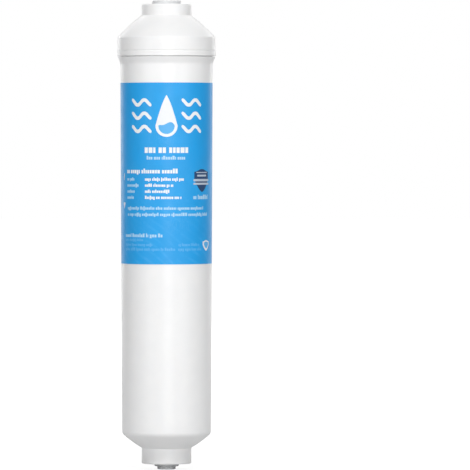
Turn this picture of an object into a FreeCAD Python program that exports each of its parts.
"""In-line water filter cartridge with a push-fit tube port in each end.

A drafted polypropylene barrel with a domed foot carries the outlet port. A domed cap, spin-welded over
the barrel's rim, carries the inlet port. A stack of pads, screens and sieve plates holds a bed of
granular carbon between the ports. Each port is a cartridge: a retainer ring pressed into the hub, a
sliding collet with steel grip teeth, a spacer washer and an O-ring.

Frame: +Z runs from the outlet to the inlet along the flow axis, and the origin is the centre of the
outlet collet's end face, which is the object's lowest point. Millimetres.
"""
import FreeCAD, Part
import math
import os

# ---- Barrel ----
barrel_length = 210.9          # from the top of the foot's dome to the weld joint
barrel_foot_radius = 25.0      # outside, where the dome ends
barrel_draft = 0.9             # how much the outside radius grows up to the weld joint
barrel_wall = 2.5
foot_dome_height = 8.1         # from the outlet hub up to the corner under the barrel
foot_dome_bow = 0.36           # how far the dome's line stands out from straight
foot_corner_rounding = 3.0
foot_corner_lift = 1.2         # from the dome's corner to where the barrel's straight side starts
clip_band_length = 22.0        # a true cylinder in the drafted side, for a pipe clip
clip_band_rise = 46.7          # from the foot of the straight side to the middle of the band

# ---- Weld joint between barrel and cap ----
rim_height = 7.0               # how far the barrel's rim stands up inside the cap
rim_step = 0.2                 # how far the rim is set in from the barrel's side
rim_end_clearance = 0.4
plug_clearance = 0.2           # between the cap's inner wall and the barrel's bore
joint_gap = 0.4                # the dark line under the cap's skirt
flange_inset = 0.2             # the flange is this much smaller than the skirt
flange_land = 0.2              # the flange's short upright edge
flange_slope_height = 3.6
flange_blend = 5.0             # hollow rounding from the flange's slope into the barrel

# ---- Cap ----
skirt_height = 10.5
skirt_wall = 1.8
skirt_corner_rounding = 1.2
band_height = 2.75             # the slightly wider band along the skirt's lower edge
band_step = 0.12
band_groove = 0.45
band_groove_depth = 0.22
cap_dome_height = 12.4
cap_dome_bow = 0.45
cap_wall = 2.8
plug_wall = 2.5

# ---- Hubs, which hold the ports ----
hub_radius = 14.0
outlet_hub_length = 8.7
inlet_hub_length = 6.3
hub_edge_rounding = 0.6
hub_face_wall = 2.5            # left solid behind the hub's end face
hub_wall = 2.5
boss_wall = 2.0
rib_count = 6
rib_thickness = 1.5
rib_reach = 2.0                # how far the ribs stand past the boss, to keep its mouth clear

# ---- Push-fit port, for tube of this diameter ----
tube_diameter = 6.35
tube_clearance = 0.125         # radial, inside the collet
travel = 1.7                   # how far the collet slides
collet_wall = 1.25
collet_depth = 8.3             # from the retainer's face to the fingertips, collet drawn out
nose_shoulder = 0.6            # how far the nose stands out from the sleeve
nose_edge_rounding = 0.35
finger_count = 6
finger_slot = 0.6
finger_root = 2.0              # where the slots start, from the retainer's face
finger_swell = 0.8             # how far the fingertips stand out from the sleeve
sleeve_clearance = 0.1
cam_start = 4.4                # from the retainer's face
cam_length = 2.6
cam_rise = 1.1
cam_play = 0.25                # along the axis, between the fingers and the cam
recess_clearance = 0.2
recess_depth = 1.9
retainer_wall = 0.9            # around the fingers, where the retainer is pressed into the hub
retainer_depth = 9.4
ring_edge_rounding = 0.45
inlet_ring_flange = 1.6        # how far the ring stands out over the hub's face
inlet_ring_height = 2.0
outlet_ring_flange = 0.2
outlet_ring_height = 1.6
tooth_width = 1.6
tooth_thickness = 0.35
tooth_lean = 0.7
tooth_set = 1.2                # how deep the tooth's root lies in the collet's wall
tooth_tip_gap = 0.1            # from the collet's bore in to the tooth's edge
tooth_bevel = 0.4              # how far back from its edge the tooth is ground sharp
tooth_height = 6.2             # from the retainer's face to the tooth's root
washer_thickness = 1.2
washer_clearance = 0.1
washer_bore_clearance = 0.225
o_ring_section = 1.9
o_ring_squeeze = 0.075         # how much smaller than the tube the ring's bore is, radially
o_ring_room = 0.2              # spare length in its groove
socket_depth = 4.5
socket_clearance = 0.125
passage_radius = 2.4
passage_length = 1.5

# ---- Media stack ----
disc_clearance = 0.15
pad_clearance = 0.3
sieve_thickness = 2.0
sieve_hole_radius = 0.9
sieve_rings = 5
sieve_margin = 2.4             # from the outer ring of holes to the plate's edge
sieve_drop = 2.0               # from the cap's plug down to the inlet plate
screen_thickness = 0.4
felt_thickness = 6.0

# ---- Label ----
label_height = 101.5
label_drop = 14.7              # from the weld joint down to the label's top edge
label_thickness = 0.12
label_overlap = 6.0            # along the circumference, at the back

cut_past = 1.0                 # how far a cutting shape runs past what it cuts

# ---- Stations along the flow axis ----
outlet_ring_z = travel
outlet_hub_z = outlet_ring_z + outlet_ring_height
foot_dome_z = outlet_hub_z + outlet_hub_length
foot_corner_z = foot_dome_z + foot_dome_height
barrel_z = foot_corner_z + foot_corner_lift
joint_z = barrel_z + barrel_length
slope_z = joint_z - flange_land - flange_slope_height
skirt_z = joint_z + joint_gap
rim_z = joint_z + rim_height
cap_corner_z = skirt_z + skirt_height
cap_dome_z = cap_corner_z + cap_dome_height
inlet_hub_z = cap_dome_z + inlet_hub_length
clip_band_z = barrel_z + clip_band_rise
clip_band_low = clip_band_z - clip_band_length / 2
clip_band_high = clip_band_z + clip_band_length / 2
label_high = joint_z - label_drop
label_low = label_high - label_height

# ---- Radii and depths that follow from the values above ----
rim_radius = barrel_foot_radius + barrel_draft - rim_step
skirt_radius = rim_radius + skirt_wall
flange_radius = skirt_radius - flange_inset
plug_radius = barrel_foot_radius + barrel_draft - barrel_wall - plug_clearance
plug_bore = plug_radius - plug_wall
tube_radius = tube_diameter / 2
collet_bore = tube_radius + tube_clearance
collet_sleeve = collet_bore + collet_wall
nose_radius = collet_sleeve + nose_shoulder
guide_bore = collet_sleeve + sleeve_clearance
cam_bore = guide_bore + cam_rise
retainer_radius = cam_bore + retainer_wall
o_ring_bore = tube_radius - o_ring_squeeze
o_ring_seat = o_ring_bore + o_ring_section
groove_length = o_ring_section + o_ring_room
groove_start = retainer_depth + washer_thickness
socket_start = groove_start + groove_length
passage_start = socket_start + socket_depth
boss_length = passage_start + passage_length
boss_radius = retainer_radius + boss_wall
boss_tip_radius = o_ring_seat + boss_wall
boss_step = groove_start + boss_wall
pocket_radius = hub_radius - hub_wall
TURN = FreeCAD.Vector(0, 0, 1)
CENTRE = FreeCAD.Vector(0, 0, 0)


def draft_radius(z):
    """Radius of the barrel's drafted side at a height, the clip band left out."""
    return barrel_foot_radius + barrel_draft * (z - barrel_z) / barrel_length


def bore_radius(z):
    return draft_radius(z) - barrel_wall


def inner_line(start, end, wall, up):
    """A dome's (radius, height) line moved square to itself by its wall, upwards or downwards."""
    run, rise = end[0] - start[0], end[1] - start[1]
    scale = wall / math.hypot(run, rise)
    return [(r - abs(rise) * scale, z + up * run * scale) for r, z in (start, end)]


def height_on(line, radius):
    """Height at a radius on the straight line through two (radius, height) points."""
    (r1, z1), (r2, z2) = line
    return z1 + (radius - r1) / (r2 - r1) * (z2 - z1)


def turned(outline):
    """Solid of revolution about Z from (radius, height) corners.

    A third value bows the edge that arrives at its corner, by that much to the edge's right.
    """
    edges = []
    for start, end in zip(outline[-1:] + outline[:-1], outline):
        a = FreeCAD.Vector(start[0], 0, start[1])
        b = FreeCAD.Vector(end[0], 0, end[1])
        if len(end) == 3:
            across = FreeCAD.Vector(b.z - a.z, 0, a.x - b.x).normalize()
            middle = (a + b) * 0.5 + across * end[2]
            edges.append(Part.Arc(a, middle, b).toShape())
        else:
            edges.append(Part.LineSegment(a, b).toShape())
    return Part.Face(Part.Wire(edges)).revolve(CENTRE, TURN, 360)


def tube(inner, outer, low, high):
    return turned([(inner, low), (outer, low), (outer, high), (inner, high)])


def disc(radius, low, high, top_radius=None):
    top = radius if top_radius is None else top_radius
    return turned([(0, low), (radius, low), (top, high), (0, high)])


def rim_edges(solid, rims):
    """The solid's circular edges about Z at these (radius, height) places."""
    found = []
    for edge in solid.Edges:
        if not isinstance(edge.Curve, Part.Circle):
            continue
        centre = edge.Curve.Center
        if math.hypot(centre.x, centre.y) > 1e-4:
            continue
        for radius, height in rims:
            if abs(edge.Curve.Radius - radius) < 1e-3 and abs(centre.z - height) < 1e-3:
                found.append(edge)
    return found


def rounded(solid, rims, size):
    return solid.makeFillet(size, rim_edges(solid, rims))


def around(solid, count, first=0.0):
    """Copies of a solid, evenly spaced about Z."""
    copies = []
    for n in range(count):
        copy = solid.copy()
        copy.rotate(CENTRE, TURN, first + n * 360.0 / count)
        copies.append(copy)
    return copies


def spokes(count, thickness, inner, outer, low, high):
    bar = Part.makeBox(outer - inner, thickness, high - low, FreeCAD.Vector(inner, -thickness / 2, low))
    return around(bar, count)


def save(name, shape):
    shape.exportStep("parts/" + name + ".step")
    print(name, "solids", len(shape.Solids), "volume", round(shape.Volume, 1), "valid", shape.isValid())


# ---- The port, drawn for the outlet: the hub's face at z = 0, the inside of the filter towards +Z ----
def at_outlet(shape):
    shape.translate(FreeCAD.Vector(0, 0, outlet_hub_z))
    return shape


def at_inlet(shape):
    shape.rotate(CENTRE, FreeCAD.Vector(1, 0, 0), 180)
    shape.translate(FreeCAD.Vector(0, 0, inlet_hub_z))
    return shape


def port_bore():
    """What is cut out of a hub and its boss: seats for the cartridge, the ring groove and the socket."""
    socket_radius = tube_radius + socket_clearance
    return turned([
        (0, 0), (retainer_radius, 0), (retainer_radius, groove_start), (o_ring_seat, groove_start),
        (o_ring_seat, socket_start), (socket_radius, socket_start), (socket_radius, passage_start),
        (passage_radius, passage_start), (passage_radius, boss_length), (0, boss_length),
    ])


def retainer_ring(ring_flange, ring_height):
    """Pressed into the hub. Its cam squeezes the collet's fingers when the collet is drawn out."""
    face = -ring_height
    recess = nose_radius + recess_clearance
    ring_radius = retainer_radius + ring_flange
    solid = turned([
        (recess, face), (ring_radius, face), (ring_radius, 0), (retainer_radius, 0),
        (retainer_radius, retainer_depth), (cam_bore, retainer_depth),
        (cam_bore, face + cam_start + cam_length), (guide_bore, face + cam_start),
        (guide_bore, face + recess_depth), (recess, face + recess_depth),
    ])
    return rounded(solid, [(ring_radius, face)], ring_edge_rounding)


def grip_teeth(ring_height):
    """Sharp steel blades set in the fingers, leaning the way the tube goes in. Drawn with the collet out."""
    face = -ring_height
    tip = collet_bore - tooth_tip_gap
    root = collet_bore + tooth_set
    root_z = face + tooth_height
    tip_z = root_z + tooth_lean
    ground = tip + tooth_bevel
    ground_z = height_on([(tip, tip_z), (root, root_z)], ground) + tooth_thickness
    cone = turned([(tip, tip_z), (root, root_z), (root, root_z + tooth_thickness), (ground, ground_z)])
    blades = spokes(finger_count, tooth_width, 0, root + cut_past, root_z - cut_past, tip_z + cut_past)
    return [cone.common(blade).Solids[0] for blade in blades]


def collet(ring_height):
    """The sliding sleeve, drawn out, with its nose standing proud by its travel."""
    face = -ring_height
    mouth = face - travel
    tips = face + collet_depth
    swell_start = face + cam_start + cam_play
    swell_end = swell_start + finger_swell * cam_length / cam_rise
    finger_radius = collet_sleeve + finger_swell
    solid = turned([
        (collet_bore, mouth), (nose_radius, mouth), (nose_radius, face), (collet_sleeve, face),
        (collet_sleeve, swell_start), (finger_radius, swell_end), (finger_radius, tips),
        (collet_bore, tips),
    ])
    solid = rounded(solid, [(nose_radius, mouth), (finger_radius, tips)], nose_edge_rounding)
    slot_start = face + finger_root
    slots = around(
        Part.makeBox(finger_radius + cut_past, finger_slot, tips - slot_start + cut_past,
                     FreeCAD.Vector(0, -finger_slot / 2, slot_start)),
        finger_count, 180.0 / finger_count)
    return solid.cut(Part.makeCompound(slots)).cut(Part.makeCompound(grip_teeth(ring_height)))


def spacer_washer():
    return tube(tube_radius + washer_bore_clearance, retainer_radius - washer_clearance,
                retainer_depth, groove_start)


def o_ring():
    section = o_ring_section / 2
    return Part.makeTorus(o_ring_bore + section, section,
                          FreeCAD.Vector(0, 0, groove_start + groove_length / 2))


def port(prefix, place, ring_flange, ring_height, slide):
    """Saves one port's pieces. slide moves the collet in from drawn out."""
    inwards = FreeCAD.Vector(0, 0, slide)
    sleeve = collet(ring_height)
    sleeve.translate(inwards)
    teeth = Part.makeCompound(grip_teeth(ring_height))
    teeth.translate(inwards)
    save(prefix + "_retainer_ring", place(retainer_ring(ring_flange, ring_height)))
    save(prefix + "_collet", place(sleeve))
    save(prefix + "_grip_teeth", place(teeth))
    save(prefix + "_spacer_washer", place(spacer_washer()))
    save(prefix + "_o_ring", place(o_ring()))


# ---- Casings ----
def housing_body():
    """Barrel, domed foot, outlet hub and boss, and the ribs that carry the media stack."""
    dome = (hub_radius, foot_dome_z), (barrel_foot_radius, foot_corner_z)
    band_radius = draft_radius(clip_band_z)
    outer = turned([
        (0, outlet_hub_z), (hub_radius, outlet_hub_z), dome[0], (*dome[1], foot_dome_bow),
        (barrel_foot_radius, barrel_z), (band_radius, clip_band_low), (band_radius, clip_band_high),
        (draft_radius(slope_z), slope_z), (flange_radius, joint_z - flange_land),
        (flange_radius, joint_z), (rim_radius, joint_z), (rim_radius, rim_z), (0, rim_z),
    ])
    outer = rounded(outer, [(hub_radius, outlet_hub_z)], hub_edge_rounding)
    outer = rounded(outer, [(barrel_foot_radius, foot_corner_z)], foot_corner_rounding)
    outer = rounded(outer, [(draft_radius(slope_z), slope_z)], flange_blend)

    inside = inner_line(*dome, barrel_wall, 1)
    foot_bore = bore_radius(foot_corner_z)
    boss_end = outlet_hub_z + boss_length
    cavity = turned([
        (0, boss_end), (boss_tip_radius, boss_end), (boss_tip_radius, outlet_hub_z + boss_step),
        (boss_radius, outlet_hub_z + boss_step), (boss_radius, outlet_hub_z + hub_face_wall),
        (pocket_radius, outlet_hub_z + hub_face_wall),
        (pocket_radius, height_on(inside, pocket_radius)),
        (foot_bore, height_on(inside, foot_bore), foot_dome_bow),
        (bore_radius(rim_z), rim_z), (0, rim_z),
    ])
    rib_top = boss_end + rib_reach
    ribs = Part.makeCompound(spokes(rib_count, rib_thickness, boss_tip_radius - boss_wall,
                                    barrel_foot_radius, outlet_hub_z, rib_top)).common(cavity)
    shell = outer.cut(cavity).fuse(ribs.Solids)
    return shell.cut(at_outlet(port_bore())).removeSplitter()


def inlet_cap():
    """Domed cap with the inlet hub. Its groove takes the barrel's rim, where the two are welded."""
    dome = (hub_radius, cap_dome_z), (skirt_radius, cap_corner_z)
    band_radius = skirt_radius + band_step
    groove_radius = skirt_radius - band_groove_depth
    band_z = skirt_z + band_height
    outer = turned([
        (0, skirt_z), (band_radius, skirt_z), (band_radius, band_z), (groove_radius, band_z),
        (groove_radius, band_z + band_groove), (skirt_radius, band_z + band_groove),
        dome[1], (*dome[0], cap_dome_bow), (hub_radius, inlet_hub_z), (0, inlet_hub_z),
    ])
    outer = rounded(outer, [(hub_radius, inlet_hub_z)], hub_edge_rounding)
    outer = rounded(outer, [dome[1]], skirt_corner_rounding)

    inside = inner_line(*dome, cap_wall, -1)
    boss_end = inlet_hub_z - boss_length
    cavity = turned([
        (0, skirt_z), (plug_bore, skirt_z), (plug_bore, height_on(inside, plug_bore)),
        (pocket_radius, height_on(inside, pocket_radius), cap_dome_bow),
        (pocket_radius, inlet_hub_z - hub_face_wall), (boss_radius, inlet_hub_z - hub_face_wall),
        (boss_radius, inlet_hub_z - boss_step), (boss_tip_radius, inlet_hub_z - boss_step),
        (boss_tip_radius, boss_end), (0, boss_end),
    ])
    rib_bottom = boss_end - rib_reach
    ribs = Part.makeCompound(spokes(rib_count, rib_thickness, boss_tip_radius - boss_wall,
                                    plug_radius, rib_bottom, inlet_hub_z)).common(cavity)
    rim_groove = tube(plug_radius, rim_radius, skirt_z, rim_z + rim_end_clearance)
    shell = outer.cut(cavity).fuse(ribs.Solids).cut(rim_groove)
    return shell.cut(at_inlet(port_bore())).removeSplitter()


def label_seat(z):
    """Radius of the barrel's side where the label is stuck, between the clip band and the flange."""
    band_radius = draft_radius(clip_band_z)
    share = (z - clip_band_high) / (slope_z - clip_band_high)
    return band_radius + share * (draft_radius(slope_z) - band_radius)


def film(layer):
    """One layer of the label's film all round the barrel, on top of this many others."""
    low, high = (label_seat(z) + layer * label_thickness for z in (label_low, label_high))
    return turned([
        (low, label_low), (low + label_thickness, label_low),
        (high + label_thickness, label_high), (high, label_high),
    ])


def wrap_label():
    """Printed film once round the barrel, with its end lapped over its start at the back."""
    behind = Part.makeBox(label_overlap, skirt_radius, label_height + 2 * cut_past,
                          FreeCAD.Vector(-label_overlap / 2, 0, label_low - cut_past))
    return film(0).fuse(film(1).common(behind)).removeSplitter()


# ---- Media stack ----
def sieve_plate(low):
    """Perforated plate that lets water through and keeps the media in."""
    radius = bore_radius(low) - disc_clearance
    plate = disc(radius, low, low + sieve_thickness)
    step = (radius - sieve_margin) / sieve_rings
    holes = [Part.makeCylinder(sieve_hole_radius, sieve_thickness, FreeCAD.Vector(0, 0, low))]
    for ring in range(1, sieve_rings + 1):
        hole = Part.makeCylinder(sieve_hole_radius, sieve_thickness, FreeCAD.Vector(ring * step, 0, low))
        holes += around(hole, 6 * ring)
    return plate.cut(Part.makeCompound(holes))


def fitted_disc(low, high, clearance):
    """Solid disc that fills the drafted bore between two heights."""
    return disc(bore_radius(low) - clearance, low, high, bore_radius(high) - clearance)


def media_stack():
    z = outlet_hub_z + boss_length + rib_reach
    save("outlet_sieve_plate", sieve_plate(z))
    z += sieve_thickness
    save("outlet_mesh_screen", fitted_disc(z, z + screen_thickness, disc_clearance))
    z += screen_thickness
    save("outlet_felt_pad", fitted_disc(z, z + felt_thickness, pad_clearance))
    bed_low = z + felt_thickness

    z = skirt_z - sieve_drop - sieve_thickness
    save("inlet_sieve_plate", sieve_plate(z))
    pad_low, pad_high = z + sieve_thickness, inlet_hub_z - boss_length - rib_reach
    save("inlet_compression_pad", disc(plug_bore - pad_clearance, pad_low, pad_high))
    z -= screen_thickness
    save("inlet_mesh_screen", fitted_disc(z, z + screen_thickness, disc_clearance))
    z -= felt_thickness
    save("inlet_felt_pad", fitted_disc(z, z + felt_thickness, pad_clearance))
    save("carbon_bed", fitted_disc(bed_low, z, disc_clearance))


os.makedirs("parts", exist_ok=True)
save("housing_body", housing_body())
save("inlet_cap", inlet_cap())
save("wrap_label", wrap_label())
port("inlet", at_inlet, inlet_ring_flange, inlet_ring_height, travel)
port("outlet", at_outlet, outlet_ring_flange, outlet_ring_height, 0)
media_stack()
